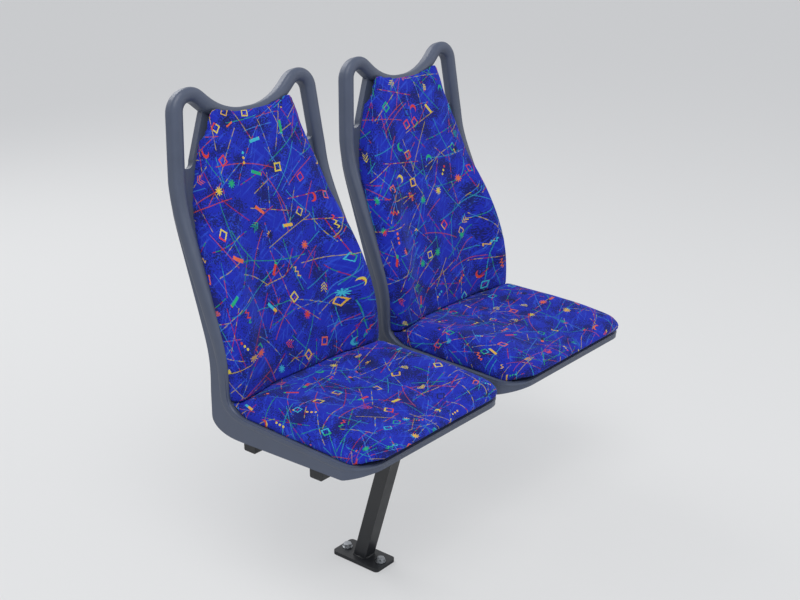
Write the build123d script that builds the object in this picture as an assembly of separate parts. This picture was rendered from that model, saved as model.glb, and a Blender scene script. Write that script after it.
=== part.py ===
from build123d import *
from math import sin, cos, tan, radians
import os

# Twin passenger seat of a city bus. Millimetres, +Z up, seats face -Y.
# +X runs from the aisle to the window. The origin is the centre of the
# floor bolts, on the underside of the foot plate.

# Places of the two seats
SEAT_PITCH = 465.0          # from one seat's middle to the next
AISLE_SEAT_X = -45.0        # middle of the aisle seat, from the leg
CREASE_Z = 430.0            # crease between back pad and seat pad, above the floor
SEATS = {"aisle": AISLE_SEAT_X, "window": AISLE_SEAT_X + SEAT_PITCH}

# Moulded shell, back
WALL = 4.0                  # wall of the moulding
SHELL_TILT = 14.3           # lean of the shell's back
SHELL_Y = 50.0              # middle of the handle behind the crease
SHELL_HALF = 215.0          # half width at the seat
SHELL_MID_HALF = 207.5      # half width part of the way up the back
SHELL_MID_V = 150.0
HIP_HALF = 199.0            # above this the side wall runs into the handle
HIP_V = 330.0
FADE_V = 470.0
GRIP_W = 28.0               # handle's section, across the back
GRIP_D = 36.0               # and front to rear
GRIP_R = 12.5
TAPER_V = 385.0             # where the handle starts to thin to the rim
SLOT_HALF = 202.0           # half width beside the slots' lower ends
SLOT_V = 404.0              # lower end of the slots, up along the back
SLOT_W = 30.0               # width of a slot at its lower end
NECK_HALF = 105.0           # half width between the slots' upper ends
RAIL_U = 66.0               # corner of the top rail's line
RAIL_V = 485.0
RAIL_R = 150.0
APEX_U = 168.0              # corner of the handle's line
APEX_V = 574.0
APEX_R = 33.0

# Moulded shell, seat; heights are from the crease
PANEL_W = 2.0               # front of the back panel, ahead of the handle's middle
PAN_Z = -44.0               # top of the pan
BEND_R = 46.0               # bend from the back panel into the pan
SKIRT_REAR_Z = -90.0        # lower edge of the skirt at the back
SKIRT_FRONT_Z = -66.0       # and at the front
PAN_DEPTH = 328.0           # crease to the front lip
PAN_CORNER_R = 58.0         # front corners
BEAD_R = 7.0                # rounded rim of the seat
RIM_PROUD = 1.0             # the rim stands out of the faces beside it
HEEL_R = 42.0               # rounded rear lower corner
HEEL_DEPTH = 23.0           # rear face behind the handle's middle, at the bottom
NAPE_DEPTH = 16.0           # and at the slots

# Rear cover
COVER_T = 3.0
COVER_GAP = 0.3
COVER_TOP_V = 375.0
COVER_LOW_Y = 14.0          # front edge of the part that turns under the seat
COVER_BOSS_R = 9.0
COVER_BOSSES = [(120.0, 330.0), (165.0, 60.0)]   # across, up along the back

# Pads
PAD_GAP = 0.3
PAD_TILT = 16.4             # lean of the back pad's front
NAPE_V = 400.0              # above this it leans further back
NAPE_TILT = 21.0
PAD_HALF = 208.0            # half width at the crease
PAD_MID_HALF = 192.0
PAD_MID_V = 205.0
PAD_NECK_HALF = 142.0       # half width beside the slots' lower ends
PAD_TOP_HALF = 103.0        # upper corners
PAD_TOP_V = 513.0
PAD_TOP_DIP = 22.0          # sag of the top edge between them
SEAT_RISE = 6.0             # front of the seat pad above its back
SEAT_PAD_INSET = 5.0        # seat pad's edge inside the shell's
SEAT_BACK_Y = 30.0          # rear edge, under the back pad
SEAT_FRONT_R = 22.0

# Seat rails and the bosses that stand on them
RAIL_T = 20.0
RAIL_W = 30.0
RAIL_HALF_GAP = 120.0       # seat rail from the seat's middle
RAIL_FRONT = 45.0           # past the front beam's middle
RAIL_REAR = 15.0            # past the rear beam's middle
RAIL_WALL = 2.0
BOSS_R = 13.0
BOSS_DROP = 30.0            # from the pan's underside to the rail
BOSS_INSET = 22.0           # from the ends of the rail

# Beams, wall bracket, leg and foot
TUBE = 30.0                 # square tube
TUBE_WALL = 2.5
TUBE_CORNER = 3.0
FRONT_BEAM_Y = -175.0       # from the crease
REAR_BEAM_Y = -5.0
BEAM_AISLE_X = -180.0       # aisle end of the beams, from the aisle seat's middle
BEAM_WINDOW_X = 236.0       # wall, from the window seat's middle
CAP_T = 3.0
CAP_PLUG = 12.0
CAP_GAP = 0.2
LEG_LEAN = 84.0             # top of the leg ahead of its foot
HEAD_T = 6.0
HEAD_W = 60.0
HEAD_OVER = 20.0            # past the beams' middles
FOOT_T = 8.0
FOOT_W = 60.0
FOOT_L = 120.0
FOOT_CORNER = 8.0
FOOT_HOLE_R = 5.5
FOOT_HOLE_GAP = 90.0
PLATE_T = 6.0
PLATE_H = 80.0
PLATE_OVER = 40.0           # past the beams' middles
PLATE_CORNER = 10.0
WALL_HOLE_R = 5.5
WALL_HOLE_OVER = 27.0       # holes past the beams' middles
WALL_HOLE_Z = 50.0          # from one row of holes to the other

# Worked out from the sizes above
PAN_UNDER = PAN_Z - WALL
RAIL_TOP = PAN_UNDER - BOSS_DROP
BEAM_TOP = CREASE_Z + RAIL_TOP - RAIL_T
BEAM_Z = BEAM_TOP - TUBE / 2
CREASE_Y = -LEG_LEAN - FRONT_BEAM_Y
BEAM_YS = {"front": CREASE_Y + FRONT_BEAM_Y, "rear": CREASE_Y + REAR_BEAM_Y}
BEAM_MID_Y = sum(BEAM_YS.values()) / 2
BEAM_SPREAD = BEAM_YS["rear"] - BEAM_YS["front"]
AISLE_END_X = SEATS["aisle"] + BEAM_AISLE_X
WALL_X = SEATS["window"] + BEAM_WINDOW_X
FAR = 900.0                 # past everything, for cutting and trimming

TILT = radians(SHELL_TILT)
BACK = Plane(origin=(0, SHELL_Y, 0), x_dir=(1, 0, 0), z_dir=(0, -cos(TILT), sin(TILT)))
SIDE = Plane(origin=(0, 0, 0), x_dir=(0, 1, 0), z_dir=(1, 0, 0))


def on_side(v, w):
    """Y and Z of a point v up along the shell's back and w out of its front."""
    return (SHELL_Y + v * sin(TILT) - w * cos(TILT), v * cos(TILT) + w * sin(TILT))


def across(face):
    """A side view carried from one side of the seat to the other."""
    return extrude(SIDE * face, FAR, both=True)


def both_halves(half):
    """Right half of a front view, made whole."""
    return half + mirror(half, Plane.YZ)


def panel_outline():
    """Right half of the back panel: side, lower end of the slot, neck and top rail."""
    hip = (HIP_HALF, HIP_V)
    grip = SLOT_HALF - GRIP_W / 2
    slot_out = (SLOT_HALF - GRIP_W, SLOT_V + SLOT_W / 2)
    slot_low = (slot_out[0] - SLOT_W / 2, SLOT_V)
    slot_in = (slot_out[0] - SLOT_W, slot_out[1])
    neck = (NECK_HALF, PAD_TOP_V)
    with BuildSketch() as sk:
        with BuildLine():
            Polyline((0, RAIL_V), (0, -FAR), (SHELL_HALF, -FAR), (SHELL_HALF, 0))
            ThreePointArc((SHELL_HALF, 0), (SHELL_MID_HALF, SHELL_MID_V), hip)
            Polyline(hip, (grip, FADE_V), (grip, slot_out[1]), slot_out)
            ThreePointArc(slot_out, slot_low, slot_in)
            Polyline(slot_in, neck, (RAIL_U, RAIL_V), (0, RAIL_V))
        make_face()
    return sk.sketch


def cavity_outline(inset):
    """Right half of the space inside the back, inset from the shell's outside."""
    side = SHELL_HALF - inset
    hip = (HIP_HALF - inset, HIP_V)
    top = (SLOT_HALF - GRIP_W, COVER_TOP_V - inset)
    with BuildSketch() as sk:
        with BuildLine():
            Polyline((0, top[1]), (0, -FAR), (side, -FAR), (side, 0))
            ThreePointArc((side, 0), (SHELL_MID_HALF - inset, SHELL_MID_V), hip)
            Polyline(hip, top, (0, top[1]))
        make_face()
    return sk.sketch


def through_back(half):
    """A front view of the back carried through the whole shell."""
    return extrude(BACK * both_halves(half), FAR, both=True)


def through_seat(inset):
    """The seat seen from above, with rounded front corners, carried up and down."""
    depth = PAN_DEPTH - inset
    with BuildSketch() as sk:
        with Locations((0, (FAR - depth) / 2)):
            Rectangle(2 * (SHELL_HALF - inset), FAR + depth)
        fillet(sk.vertices().group_by(Axis.Y)[0], PAN_CORNER_R - inset)
    return extrude(sk.sketch, FAR, both=True)


def side_view(front, rear):
    """Side view of the shell, its front faces set back by front and its rear faces by rear."""
    panel = PANEL_W - front
    pan = PAN_Z - front
    bend = (SHELL_Y - panel / cos(TILT) + pan * tan(TILT), pan)
    heel = (on_side(SKIRT_REAR_Z, -HEEL_DEPTH + rear)[0], SKIRT_REAR_Z + rear)
    points = [
        on_side(PAD_TOP_V, panel),
        bend,
        (-FAR, pan),
        (-FAR, SKIRT_FRONT_Z + rear),
        (-PAN_DEPTH, SKIRT_FRONT_Z + rear),
        heel,
        on_side(COVER_TOP_V, -NAPE_DEPTH + rear),
        on_side(PAD_TOP_V, -NAPE_DEPTH + rear),
    ]
    face = make_face(Polyline(*points, close=True))
    face = fillet(face.vertices().sort_by_distance((*bend, 0))[0], BEND_R + front)
    return fillet(face.vertices().sort_by_distance((*heel, 0))[0], HEEL_R - rear)


def square_to(path):
    """Plane square to a path at its start, looking back along it."""
    return Plane(origin=path @ 0, x_dir=(1, 0, 0), z_dir=path % 0)


def loop_path():
    """Middle line of both handles and the top rail between them."""
    half = [(SLOT_HALF - GRIP_W / 2, TAPER_V), (APEX_U, APEX_V), (RAIL_U, RAIL_V)]
    other = [(-u, v) for u, v in reversed(half)]
    radii = [APEX_R, RAIL_R]
    return BACK * FilletPolyline(*half, *other, radius=radii + radii[::-1])


def rim_path():
    """Middle line of the rounded rim, from one side of the back round the seat to the other."""
    thin = BEAD_R - RIM_PROUD
    side = SHELL_HALF - thin
    pan = PAN_Z - thin
    back = PANEL_W - thin
    bend_y = SHELL_Y - back / cos(TILT) + pan * tan(TILT)
    half = [(side, *on_side(0, back)), (side, bend_y, pan), (side, thin - PAN_DEPTH, pan)]
    other = [(-x, y, z) for x, y, z in reversed(half)]
    radii = [BEND_R + thin, PAN_CORNER_R - thin]
    return FilletPolyline(*half, *other, radius=radii + radii[::-1])


def handles(extra=0):
    """Both loop handles and the top rail, thinning down the sides to the rim."""
    loop = loop_path()
    section = square_to(loop) * RectangleRounded(GRIP_W + 2 * extra, GRIP_D + 2 * extra, GRIP_R + extra)
    foot = square_to(rim_path()) * Circle(BEAD_R + extra)
    stem = loft([section, foot])
    return sweep(section, path=loop) + stem + mirror(stem, Plane.YZ)


def rim():
    """Rounded rim of the seat."""
    path = rim_path()
    return sweep(square_to(path) * Circle(BEAD_R), path=path)


def shell():
    """Moulded seat shell with its walls, handles, rim and bosses."""
    outside = across(side_view(0, 0)) & through_back(panel_outline()) & through_seat(0)
    space = across(side_view(WALL, -FAR / 3)) & through_back(cavity_outline(WALL)) & through_seat(WALL)
    body = outside - space
    room = across(side_view(PANEL_W, COVER_T + COVER_GAP))
    for hand in (1, -1):
        for u, v in COVER_BOSSES:
            post = extrude(BACK * Pos(hand * u, v, 0) * Circle(COVER_BOSS_R), -FAR)
            body += post & room
        for y in BOSS_YS:
            drop = PAN_Z - WALL / 2 - RAIL_TOP
            body += Pos(hand * RAIL_HALF_GAP, y, RAIL_TOP + drop / 2) * Cylinder(BOSS_R, drop)
    return body + handles() + rim()


def cover():
    """Rear cover of the back, turned under the seat at its foot."""
    skin = across(side_view(WALL, 0)) - across(side_view(WALL, COVER_T))
    skin = skin & through_back(cavity_outline(WALL + COVER_GAP))
    keep = Pos(0, COVER_LOW_Y + FAR / 2, 0) * Box(FAR, FAR, 2 * FAR)
    return (skin & keep) - handles(COVER_GAP)


def pad_outline():
    """Right half of the back pad seen from its front."""
    corner = (PAD_TOP_HALF, PAD_TOP_V)
    low = PAD_TOP_V - PAD_TOP_DIP
    with BuildSketch() as sk:
        with BuildLine():
            Polyline((0, low), (0, -FAR / 3), (PAD_HALF, -FAR / 3), (PAD_HALF, 0))
            ThreePointArc((PAD_HALF, 0), (PAD_MID_HALF, PAD_MID_V), (PAD_NECK_HALF, SLOT_V))
            Line((PAD_NECK_HALF, SLOT_V), corner)
            RadiusArc(corner, (0, low), (PAD_TOP_HALF ** 2 + PAD_TOP_DIP ** 2) / (2 * PAD_TOP_DIP))
        make_face()
    return sk.sketch


def back_pad():
    """Closed solid of the back pad, thick at the crease and thin at the top."""
    lean, nape = radians(PAD_TILT), radians(NAPE_TILT)
    turn = (NAPE_V * sin(lean), NAPE_V * cos(lean))
    rise = FAR / 3
    behind = PANEL_W + RIM_PROUD + PAD_GAP
    points = [
        (-PAD_GAP * tan(lean), PAD_GAP),
        turn,
        (turn[0] + rise * sin(nape), turn[1] + rise * cos(nape)),
        on_side(FAR, behind),
        on_side(0, behind),
        (on_side(0, behind)[0], PAD_GAP),
    ]
    side = make_face(Polyline(*points, close=True))
    return (across(side) & through_back(pad_outline())) - handles(PAD_GAP)


def seat_pad():
    """Closed solid of the seat pad, rising a little to a rounded front."""
    half = SHELL_HALF - SEAT_PAD_INSET
    front = -PAN_DEPTH + SEAT_PAD_INSET
    floor = PAN_Z + RIM_PROUD + PAD_GAP
    points = [(SEAT_BACK_Y, 0), (0, 0), (front, SEAT_RISE), (front, floor), (0, floor), (SEAT_BACK_Y, floor + 12)]
    side = make_face(Polyline(*points, close=True))
    nose = side.vertices().sort_by_distance((front, SEAT_RISE, 0))[0]
    side = fillet(nose, SEAT_FRONT_R)
    return across(side) & through_seat(SEAT_PAD_INSET)


def square_tube(size, wall, length):
    """Square tube along X, from X = 0."""
    outer = RectangleRounded(size, size, TUBE_CORNER)
    inner = RectangleRounded(size - 2 * wall, size - 2 * wall, TUBE_CORNER / 3)
    return extrude(Plane.YZ * (outer - inner), length)


BOSS_YS = (
    FRONT_BEAM_Y - RAIL_FRONT + BOSS_INSET,
    REAR_BEAM_Y + RAIL_REAR - BOSS_INSET,
)


def seat_rail():
    """Rail under the pan, an open-ended rectangular tube along Y."""
    length = BEAM_SPREAD + RAIL_FRONT + RAIL_REAR
    mid = (FRONT_BEAM_Y - RAIL_FRONT + REAR_BEAM_Y + RAIL_REAR) / 2
    outer = Box(RAIL_W, length, RAIL_T)
    inner = Box(RAIL_W - 2 * RAIL_WALL, length, RAIL_T - 2 * RAIL_WALL)
    return Pos(0, mid, RAIL_TOP - RAIL_T / 2) * (outer - inner)


def beam(y):
    """Cross beam from the aisle end to the wall bracket."""
    start = AISLE_END_X + CAP_T
    return Pos(start, y, BEAM_Z) * square_tube(TUBE, TUBE_WALL, WALL_X - PLATE_T - start)


def beam_cap(y):
    """Plastic plug in the aisle end of a beam."""
    bore = TUBE - 2 * TUBE_WALL - 2 * CAP_GAP
    head = extrude(Plane.YZ * RectangleRounded(TUBE, TUBE, TUBE_CORNER), CAP_T)
    plug = extrude(Plane.YZ * RectangleRounded(bore, bore, TUBE_CORNER / 2), CAP_T + CAP_PLUG)
    return Pos(AISLE_END_X, y, BEAM_Z) * (head + plug)


def wall_bracket():
    """Upright plate at the wall, with the beams' ends on its inner face."""
    length = BEAM_SPREAD + 2 * PLATE_OVER
    face = RectangleRounded(length, PLATE_H, PLATE_CORNER)
    spread = BEAM_SPREAD + 2 * WALL_HOLE_OVER
    face -= GridLocations(spread, WALL_HOLE_Z, 2, 2) * Circle(WALL_HOLE_R)
    return Pos(WALL_X, BEAM_MID_Y, BEAM_Z) * extrude(Plane.YZ * face, -PLATE_T)


def leg_head():
    """Plate that joins the two beams on top of the leg."""
    length = BEAM_SPREAD + 2 * HEAD_OVER
    return Pos(0, BEAM_MID_Y, BEAM_Z - TUBE / 2 - HEAD_T / 2) * Box(HEAD_W, length, HEAD_T)


def leg():
    """Square tube that leans forward from the foot to the front beam."""
    top = BEAM_Z - TUBE / 2 - HEAD_T
    rise = top - FOOT_T

    def leaning(size):
        half = size / 2 * (rise ** 2 + LEG_LEAN ** 2) ** 0.5 / rise
        y = BEAM_YS["front"]
        points = [(-half, FOOT_T), (half, FOOT_T), (y + half, top), (y - half, top)]
        return extrude(SIDE * make_face(Polyline(*points, close=True)), size / 2, both=True)

    return leaning(TUBE) - leaning(TUBE - 2 * TUBE_WALL)


def foot_plate():
    """Plate on the floor with a bolt hole ahead of the leg and one behind."""
    face = RectangleRounded(FOOT_W, FOOT_L, FOOT_CORNER)
    face -= GridLocations(0, FOOT_HOLE_GAP, 1, 2) * Circle(FOOT_HOLE_R)
    return extrude(face, FOOT_T)


def build():
    """Every node by name, in its place."""
    nodes = {}
    for side, x in SEATS.items():
        place = Pos(x, CREASE_Y, CREASE_Z)
        nodes[f"shell_{side}"] = place * shell()
        nodes[f"back_cover_{side}"] = place * cover()
        nodes[f"back_pad_{side}"] = place * back_pad()
        nodes[f"seat_pad_{side}"] = place * seat_pad()
        for name, hand in (("left", -1), ("right", 1)):
            nodes[f"seat_rail_{side}_{name}"] = place * Pos(hand * RAIL_HALF_GAP, 0, 0) * seat_rail()
    for name, y in BEAM_YS.items():
        nodes[f"{name}_beam"] = beam(y)
        nodes[f"{name}_beam_cap"] = beam_cap(y)
    nodes["wall_bracket"] = wall_bracket()
    nodes["leg_head"] = leg_head()
    nodes["leg"] = leg()
    nodes["foot_plate"] = foot_plate()
    return nodes


os.makedirs("parts", exist_ok=True)
for name, solid in build().items():
    export_step(solid, f"parts/{name}.step")
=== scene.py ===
import math

import bmesh
import bpy
import numpy as np
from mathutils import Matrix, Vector


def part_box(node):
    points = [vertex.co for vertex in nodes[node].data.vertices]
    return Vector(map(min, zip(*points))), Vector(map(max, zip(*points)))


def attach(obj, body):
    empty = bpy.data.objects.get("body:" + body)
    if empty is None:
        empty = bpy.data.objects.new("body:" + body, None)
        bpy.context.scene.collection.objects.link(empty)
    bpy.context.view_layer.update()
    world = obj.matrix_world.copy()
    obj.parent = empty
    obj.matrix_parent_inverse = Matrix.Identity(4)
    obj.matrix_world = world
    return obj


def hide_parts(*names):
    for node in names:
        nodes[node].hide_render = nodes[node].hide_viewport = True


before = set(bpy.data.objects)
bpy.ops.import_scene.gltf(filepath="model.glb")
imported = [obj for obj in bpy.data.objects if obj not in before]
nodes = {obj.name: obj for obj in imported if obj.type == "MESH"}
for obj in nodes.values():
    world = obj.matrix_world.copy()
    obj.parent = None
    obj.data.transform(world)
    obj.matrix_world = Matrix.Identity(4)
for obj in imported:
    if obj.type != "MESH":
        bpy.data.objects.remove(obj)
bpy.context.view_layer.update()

# Shells. Each seat is one injection moulding of grey polypropylene, with its
# loop handles, rolled rim and skirt, and a fine spark-eroded grain. A moulded
# cover closes its hollow back and is screwed on from behind.


def linear(code):
    """sRGB hex colour as linear red, green, blue and alpha."""
    rgb = np.array([int(code[i:i + 2], 16) for i in (1, 3, 5)]) / 255
    rgb = np.where(rgb <= 0.04045, rgb / 12.92, ((rgb + 0.055) / 1.055) ** 2.4)
    return (*rgb, 1.0)


def add_node(tree, kind, inputs=None, **settings):
    """Adds a node with its settings. Inputs are constants or sockets to link from."""
    node = tree.nodes.new(kind)
    for name, value in settings.items():
        setattr(node, name, value)
    for key, value in (inputs or {}).items():
        if isinstance(value, bpy.types.NodeSocket):
            tree.links.new(value, node.inputs[key])
        else:
            node.inputs[key].default_value = value
    return node


def new_material(name, **surface):
    """Material with one Principled shader that has these constant sockets."""
    material = bpy.data.materials.new(name)
    material.use_nodes = True
    tree = material.node_tree
    tree.nodes.clear()
    shader = add_node(tree, "ShaderNodeBsdfPrincipled", surface)
    tree.links.new(shader.outputs[0], add_node(tree, "ShaderNodeOutputMaterial").inputs[0])
    return material, tree, shader


def finish_node(name, material):
    """Gives a CAD node its finish."""
    slots = nodes[name].data.materials
    slots.clear()
    slots.append(material)


def clouded(tree, shader, size, detail, tints, shines):
    """Colour and roughness that drift together from one value to another, in soft clouds of some size
    in metres. Gives the place on the piece, for a finer pattern."""
    place = add_node(tree, "ShaderNodeTexCoord").outputs["Object"]
    cloud = add_node(tree, "ShaderNodeTexNoise", {"Vector": place, "Scale": 1 / size, "Detail": detail})
    tone = add_node(
        tree, "ShaderNodeMix",
        {"Factor": cloud.outputs["Fac"], "A": linear(tints[0]), "B": linear(tints[1])},
        data_type="RGBA",
    )
    shine = add_node(
        tree, "ShaderNodeMapRange",
        {"Value": cloud.outputs["Fac"], "From Min": 0.3, "From Max": 0.7,
         "To Min": shines[0], "To Max": shines[1]},
    )
    tree.links.new(tone.outputs["Result"], shader.inputs["Base Color"])
    tree.links.new(shine.outputs[0], shader.inputs["Roughness"])
    return place


SEAT_NAMES = ("aisle", "window")
GRAIN = 0.0014            # grain of the mould, drawn coarse enough to show, in metres
SCUFF = 0.035             # size of the faint cloudy shine where hands rub

# Moulded polypropylene: a soft sheen over a fine grain, a little cloudy where hands rub it.
shell_plastic, tree, shader = new_material("grained_polypropylene", **{"IOR": 1.49})
place = clouded(tree, shader, SCUFF, 4.0, ("#434b5d", "#4b5468"), (0.42, 0.5))
grain = add_node(tree, "ShaderNodeTexNoise", {"Vector": place, "Scale": 1 / GRAIN, "Detail": 2.0})
pits = add_node(
    tree, "ShaderNodeBump", {"Height": grain.outputs["Fac"], "Strength": 0.12, "Distance": 0.0003}
)
tree.links.new(pits.outputs[0], shader.inputs["Normal"])

# Sizes in metres from a seat's middle at the crease. Those that start with SOLID are of the CAD
# shell, whose back is straight, and the others of the seat in the photograph.
SHELL_DEPTH = 0.329       # crease to the solid shell's front lip
SHELL_DROP = 0.0878       # the rims beside the crease, above the solid skirt's lower edge
VIEW_TILT = math.radians(14.3)       # lean of the view square to the back
VIEW_FOOT = 0.050         # that view turns about a point this far behind the crease
KNEE_SOFT = 0.018         # how softly a line's lean changes
RIM_LOW = 0.013           # front of the rim behind the crease, low down
RIM_LEANS = (0.0, 0.439, 0.0875)     # how the rim leans back low down, in the middle and above
RIM_KNEES = (0.070, 0.334)           # heights where the lean changes
REAR_LOW = 0.055          # rear face of the shell likewise
REAR_LEANS = (0.0, 0.385, 0.0875)
REAR_KNEES = (0.058, 0.3265)
PANEL_LOW = 0.0374        # panel behind the back pad likewise
PANEL_LEANS = (0.0, 0.352, 0.0875)
PANEL_KNEES = (0.040, 0.345)
SIDE_HEIGHTS = (0.0, 0.205, 0.404)   # heights in that view, and the bowl's half widths there
SIDE_WIDTHS = (0.2078, 0.1928, 0.1420)
PAD_TOP = (0.513, 0.104)  # upper corners of the back pad: height in that view, and half width
SOLID_FRONT = ((-0.100, 0.373, 0.538), (0.0257, 0.1267, 0.1695))     # rim's front: heights, depths
SOLID_REAR = ((-0.100, 0.538), (0.0470, 0.2046))     # rear face likewise
SOLID_PANEL = ((-0.100, 0.350), (0.0224, 0.1372))    # panel's front likewise
SOLID_SEAT = (-0.329, -0.100, 0.005)                 # lip, a place on the seat, and start of the bend
TRUE_SEAT = (-0.319, -0.100, -0.037)                 # the same in the photograph
PANEL_SKIN = (0.0045, 0.010)         # behind the panel's front: all moves to the first, none past the second
BOWL_WALL = (0.011, 0.008)           # the bowl's side wall: its foot inside the pad's edge, and its width
BOWL_FOOT = (-0.046, -0.020)         # the bowl deepens between these heights
BOWL_HEAD = (0.335, 0.350)           # and ends between these
PAN_TOP = -0.044          # top of the pan and its rim, at the crease
FALL_FROM = -0.040        # in front of here the rim falls
SEAT_FALL = 0.044         # by this much for each metre forward
EDGE = ((-0.324, -0.270, 0.055), (-0.066, -0.084, -0.090))           # skirt's lower edge: depths, heights
SOLID_EDGE = (-0.0634, -0.0868)      # that edge as a slope and a height
BOSS_LOW = -0.078         # feet of the pan on the seat rails
BOSS_SIDE = (0.150, 0.195)           # the feet lie inside the first, the skirt outside the second
BOSS_MIDDLE = -0.130      # and the feet lie about here
BOSS_REACH = (0.130, 0.170)          # within the first of it, with the skirt past the second
SLICE = 0.010             # the surfaces are cut at least this fine before they bend
CUTS = ((2, -0.09, 0.54, SLICE), (1, -0.32, 0.06, 2 * SLICE))        # axis, from, to and step
SHARP = math.radians(38)  # edges sharper than this stay crisp


def seat_origin(seat):
    """Middle of a seat, between its rims at the crease."""
    low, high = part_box(f"shell_{seat}")
    return np.array(((low.x + high.x) / 2, low.y + SHELL_DEPTH, low.z + SHELL_DROP))


def smooth_step(value, start, end):
    """0 before start, 1 after end, and between them three times the share's square less twice its
    cube, a soft S."""
    t = np.clip((value - start) / (end - start), 0, 1)
    return t * t * (3 - 2 * t)


def three_leans(z, low, leans, knees):
    """Line up the side view: three leans, joined by soft knees. A knee adds its change of lean times
    a soft ramp, the log of 1 plus e to the height past the knee."""
    bend = [KNEE_SOFT * np.logaddexp(0, (z - knee) / KNEE_SOFT) for knee in knees]
    return low + leans[0] * z + (leans[1] - leans[0]) * bend[0] + (leans[2] - leans[1]) * bend[1]


def rim_front(z):
    """Front of the rim behind the crease."""
    return three_leans(z, RIM_LOW, RIM_LEANS, RIM_KNEES)


def panel_front(z):
    """Front of the panel that the back pad rests on."""
    return three_leans(z, PANEL_LOW, PANEL_LEANS, PANEL_KNEES)


def view_height(y, z):
    """Height in the view square to the back."""
    return (y - VIEW_FOOT) * math.sin(VIEW_TILT) + z * math.cos(VIEW_TILT)


def half_width(v):
    """Half width of the back pad: a parabola up the sides, then straight to the top corners."""
    curve = np.polyval(np.polyfit(SIDE_HEIGHTS, SIDE_WIDTHS, 2), v)
    slope = (PAD_TOP[1] - SIDE_WIDTHS[2]) / (PAD_TOP[0] - SIDE_HEIGHTS[2])
    return np.where(v < SIDE_HEIGHTS[2], curve, SIDE_WIDTHS[2] + slope * (v - SIDE_HEIGHTS[2]))


def read_points(mesh):
    """Points of a mesh as an array."""
    points = np.empty(3 * len(mesh.vertices))
    mesh.vertices.foreach_get("co", points)
    return points.reshape(-1, 3)


def put_mesh(name, points, faces, material):
    """Mesh object at the origin from arrays of points and faces."""
    mesh = bpy.data.meshes.new(name)
    mesh.from_pydata(points.tolist(), [], faces if isinstance(faces, list) else faces.tolist())
    mesh.validate()
    mesh.update()
    mesh.materials.append(material)
    mesh.shade_smooth()
    piece = bpy.data.objects.new(name, mesh)
    bpy.context.scene.collection.objects.link(piece)
    return piece


def deeper(y, z):
    """Depth of a point up the back, stretched from the solid's front and rear to the true ones."""
    front, rear = np.interp(z, *SOLID_FRONT), np.interp(z, *SOLID_REAR)
    true_rear = three_leans(z, REAR_LOW, REAR_LEANS, REAR_KNEES)
    return rim_front(z) + (y - front) * (true_rear - rim_front(z)) / (rear - front)


def shaped(points):
    """The solid's points moved to the photographed lines. Up the back a point's depth is stretched from
    the solid's front and rear to these lines, which give the S. Inside the bowl the panel is pushed
    back. The bend starts further forward. The seat's rim falls to its front lip, and below it a
    height is stretched to the skirt's edge, but to the rails for the feet."""
    u, y, z = points.T
    side = np.abs(u)
    front = np.interp(z, *SOLID_FRONT)
    start, true_start = SOLID_SEAT[-1], TRUE_SEAT[-1]
    bend = true_start + (y - start) * (rim_front(z) - true_start) / (front - start)
    seat = np.interp(y, SOLID_SEAT, TRUE_SEAT)
    moved = np.where(y > front, deeper(y, z), np.where(y > start, bend, seat))
    panel = np.interp(z, *SOLID_PANEL)
    bowl = half_width(view_height(rim_front(z), z)) - BOWL_WALL[0]
    sink = smooth_step(z, *BOWL_FOOT) * (1 - smooth_step(z, *BOWL_HEAD))
    sink = sink * (1 - smooth_step(side, bowl, bowl + BOWL_WALL[1]))
    sink = sink * (1 - smooth_step(y, panel + PANEL_SKIN[0], panel + PANEL_SKIN[1]))
    moved = moved + sink * (panel_front(z) - deeper(panel, z))
    fall = SEAT_FALL * np.clip(FALL_FROM - moved, 0, None)
    top = PAN_TOP - fall
    wall = np.maximum(smooth_step(side, *BOSS_SIDE), smooth_step(np.abs(y - BOSS_MIDDLE), *BOSS_REACH))
    to_edge = (np.interp(moved, *EDGE) - top) / (np.polyval(SOLID_EDGE, y) - PAN_TOP)
    to_boss = (BOSS_LOW - top) / (BOSS_LOW - PAN_TOP)
    under = top + (z - PAN_TOP) * (to_boss + wall * (to_edge - to_boss))
    return np.stack((u, moved, np.where(z < PAN_TOP, under, z - fall)), axis=-1)


def moulded(node):
    """Copy of a CAD part's surface in its seat's own frame: merged, cut into slices and moved to the
    photographed lines. Gives points and triangles."""
    work = bmesh.new()
    work.from_mesh(nodes[node].data)
    bmesh.ops.remove_doubles(work, verts=work.verts, dist=1e-6)
    origin = Vector(seat_origin("aisle"))
    bmesh.ops.translate(work, verts=work.verts, vec=-origin)
    for axis, low, high, step in CUTS:
        across = Vector([float(axis == way) for way in range(3)])
        for spot in np.arange(low, high, step):
            parts = [*work.verts, *work.edges, *work.faces]
            middle = across * float(spot)
            bmesh.ops.bisect_plane(work, geom=parts, dist=1e-7, plane_co=middle, plane_no=across)
    bmesh.ops.triangulate(work, faces=work.faces)
    mesh = bpy.data.meshes.new(node)
    work.to_mesh(mesh)
    work.free()
    faces = np.empty(3 * len(mesh.polygons), int)
    mesh.polygons.foreach_get("vertices", faces)
    return shaped(read_points(mesh)), faces.reshape(-1, 3)


outsides = {}
for part, slot in (("shell", "shell_plastic"), ("back_cover", "cover_plastic")):
    points, faces = moulded(f"{part}_aisle")
    for seat in SEAT_NAMES:
        finish_node(f"{part}_{seat}", shell_plastic)
        piece = put_mesh(f"{part}_form_{seat}", points + seat_origin(seat), faces, shell_plastic)
        piece.data.set_sharp_from_angle(angle=SHARP)
        normals = piece.modifiers.new("normals", "WEIGHTED_NORMAL")
        normals.keep_sharp = True
        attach(piece, "root")
        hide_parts(f"{part}_{seat}")
        outsides[part, seat] = piece

# Back pads. A moulded foam in moquette, pulled tight round its edges and sunk in
# the shell's rim. Bolsters stand up at both sides low down and fade out above.

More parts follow.
